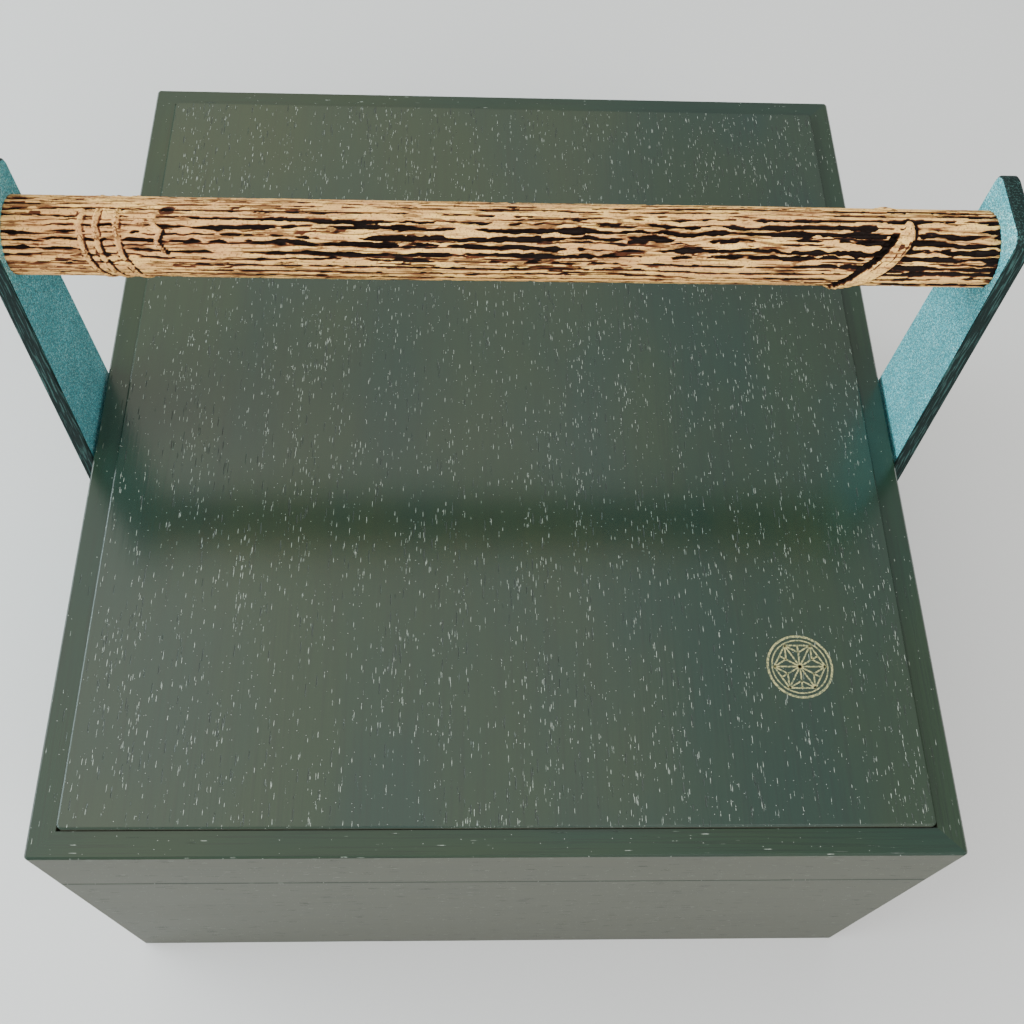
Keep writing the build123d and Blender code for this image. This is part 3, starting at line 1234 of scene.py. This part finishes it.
    def grooves(
        self, along: np.ndarray, around: np.ndarray, warp: np.ndarray, angle: np.ndarray
    ) -> tuple:
        """Lengthwise grooves, which widen, thin out, break and run together.

        Args:
            along: shifted places along the bar.
            around: places round it, in millimetres.
            warp: how far the lanes are pushed aside there.
            angle: angles round it.

        Returns:
            Depth share of the deep grooves and of the thin lines, from 0 to 1.
        """
        groove, line = np.zeros_like(along), np.zeros_like(along)
        bold = self.boldness(along, angle)
        bent = around + warp * (0.35 + 0.65 * bold)
        # One row of these for each lane, so their cells measure 1 across
        drift, swell, ragged = (
            SkinNoise(seed, 1000.0, length, 1.0) for seed, length in ((22, 38), (23, 17), (24, 4.2))
        )
        bite = self.noise(26, 4.2, 1.0)(along, around) * (0.10 + 0.20 * bold)
        bite = bite + self.noise(27, 1.4, 0.6)(along, around) * 0.17
        bite = bite + 0.12 * rise(along, 108, 118) - 0.10 * rise(-along, 20, 100)
        for row in range(self.lanes + self.fine_lanes):
            lane = np.full_like(along, float(row))
            fine = row >= self.lanes
            place = (row - self.lanes) / self.fine_lanes if fine else row / self.lanes
            centre = (place + 0.013) * self.girth + drift(along, lane) * (0.9 if fine else 0.6)
            offset = np.abs((bent - centre + self.girth / 2) % self.girth - self.girth / 2)
            vary = swell(along, lane + 100) * 0.8 + ragged(along, lane + 200) * 0.65
            if fine:
                half = np.clip(0.11 + 0.22 * vary, 0, 0.36)
                edge = np.clip((half - offset) / self.groove_flank + 0.45, 0, 1)
                line = np.maximum(line, rise(half, 0.05, 0.18) * edge)
            else:
                half = np.clip(0.30 + 0.26 * bold + vary * (0.20 + 0.32 * bold), 0, 0.95)
                edge = np.clip((half - offset + bite) / self.groove_flank + 0.35, 0, 1)
                groove = np.maximum(groove, rise(half, 0.12, 0.28) * edge)
        return groove, line

    def nodes(self, along: np.ndarray, angle: np.ndarray) -> tuple:
        """The two nodes and the bud scar.

        Args:
            along: places along the bar.
            angle: angles round it.

        Returns:
            Added height, how far the grooves are calmed, and added stain with painted shadow lines
            beside the rings.
        """
        up, front = np.sin(angle), np.cos(angle)
        around = angle * self.radius
        here = along + self.noise(31, 4.0, 3.0)(along, around) * 0.30
        rough = self.noise(32, 0.9, 0.7)(along, around)
        height, calm, stain_and_shade = (np.zeros_like(along) for _ in range(3))
        # Left node: each ring is a thin lip with a painted shadow line on both sides, darker
        # towards the underside
        shown = 1 - 0.85 * rise(up, 0.55, 0.80) * rise(front, -0.2, 0.2)
        for ring, strength in self.left_rings:
            gap = here - ring - self.left_lean[0] * up - self.left_lean[1] * front
            lip = mound(gap, 0.0, np.where(gap < 0, 0.36, 0.62), 2)
            foot = mound(gap, 1.35, 0.45, 2) * rise(rough, -1.2, 0.4)
            edge = mound(gap, -0.95, 0.40, 2) * rise(rough, -0.6, 0.5)
            height += shown * strength * (self.ring_height * lip - 0.4 * foot - 0.25 * edge)
            stain_and_shade += shown * (0.85 * foot + 0.6 * edge) * (0.5 + 0.5 * rise(-up, -0.2, 0.5))
            calm = np.maximum(calm, 0.97 * shown * mound(gap, 0.1, 1.4, 4))
        # Bud scar, with a dark foot on its right
        bud = self.bud_ridge(along, around)
        foot = rise(self.bud_ridge(along - 1.1, around + 0.4), 0.3, 0.6)
        height += bud
        stain_and_shade += 0.8 * foot * (1 - rise(bud, 0.1, 0.4))
        calm = np.maximum(calm, 0.8 * rise(bud, 0.05, 0.3))
        # Right node: a crescent between two leaning lines, which meet out of sight
        groove, edge = (
            middle + lean_up * up + lean_front * front
            for middle, lean_up, lean_front in (self.scar_groove, self.scar_edge)
        )
        ring = (groove + edge) / 2
        body = rise(here - groove, 1.0, 1.7) * rise(edge - here, 0.0, 0.5)
        body *= rise(edge - groove - 1.6, 0.0, 2.5)
        streaks = self.noise(33, 0.8, 3.5)(here - ring, around)
        height += body * (self.scar_height + 0.20 * rough + 0.18 * streaks)
        # The black cut on its left, the broken line on its right, and a plain ring behind
        cut = np.clip((1.55 - np.abs(here - groove + 0.2)) / 0.5, 0, 1)
        cut *= rise(-up, -0.42, -0.30) * rise(front, -0.1, 0.3)
        rim = mound(here - edge, 0.6, 0.5, 2) * rise(front, 0.0, 0.4)
        rim *= rise(self.noise(34, 2.0, 2.5)(along, around), -0.5, 0.2)
        behind = 0.8 * rise(-front, -0.35, 0.2)
        for form, added_height, added_stain in ((cut, -1.05, 1.3), (rim, -0.4, 0.9)):
            height += added_height * form
            stain_and_shade += added_stain * form
        height += behind * mound(here, ring, 1.2, 2)
        stain_and_shade += body * 0.45 * rise(0.4 * rough + streaks, 0.30, 0.75)
        calm = np.maximum(calm, np.maximum(body, behind * mound(along, ring, 2.2, 4)))
        return height, calm, stain_and_shade

    def bud_ridge(self, along: np.ndarray, around: np.ndarray) -> np.ndarray:
        """Raised chevron of the bud scar.

        Args:
            along: places along the bar.
            around: places round it, in millimetres.

        Returns:
            Its height.
        """
        nearest = np.full_like(along, np.inf)
        for start, end in zip(self.bud, self.bud[1:]):
            run = np.array(end) - np.array(start)
            share = ((along - start[0]) * run[0] + (around - start[1]) * run[1]) / (run @ run)
            share = np.clip(share, 0, 1)
            gap = np.hypot(along - start[0] - share * run[0], around - start[1] - share * run[1])
            nearest = np.minimum(nearest, gap)
        return self.bud_height * mound(nearest, 0.0, self.bud_width, 2)

    def close(
        self, skin: np.ndarray, half: float, centre: Vector, stain_and_shade: np.ndarray, blush: np.ndarray
    ) -> bpy.types.Object:
        """Turn the skin into a closed piece with a blind bore at each end.

        Args:
            skin: its points by row and column.
            half: half the length of the bar.
            centre: the middle of the bar.
            stain_and_shade: stain and painted shade by row and column.
            blush: blush by row and column.

        Returns:
            The bar.
        """
        columns = self.columns
        bore = np.full(columns, self.bore_radius * MM)
        deep = half - self.bore_depth * MM
        left_deep, left_mouth, right_mouth, right_deep = (
            self.wrap(np.full(columns, x), self.column_angles(), bore, centre)[None]
            for x in (-deep, -half, half, deep)
        )
        grid = np.concatenate([left_deep, left_mouth, skin, right_mouth, right_deep])
        rows = np.arange(len(grid) - 1)[:, None] * columns
        column = np.arange(columns)[None, :]
        here, after = rows + column, rows + (column + 1) % columns
        faces = np.stack([here, here + columns, after + columns, after], axis=-1)
        last_row = (len(grid) - 1) * columns
        faces = faces.reshape(-1, 4).tolist()
        faces += [list(range(columns)), list(range(last_row, last_row + columns))[::-1]]
        bar = mesh_piece("culm_bar", grid.reshape(-1, 3), faces, "case", RidgedCulm())
        bar.data.shade_smooth()
        for name, value, at_bore in (("stain_and_shade", stain_and_shade, 0.6), ("blush", blush, 0.2)):
            pad = np.full((2, columns), at_bore)
            full = np.concatenate([pad, value, pad])
            attribute = bar.data.attributes.new(name, "FLOAT", "POINT")
            attribute.data.foreach_set("value", full.astype(np.float32).ravel())
        return bar


def main() -> None:
    """Build the studio and every sub-assembly."""
    logging.basicConfig(level=logging.INFO, format="%(name)s: %(message)s")
    Studio(rim_height=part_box("lid_front")[1].z).build()
    for assembly in (Lid(), Case(), Tray(), Handle()):
        assembly.build()


if __name__ == "__main__":
    main()
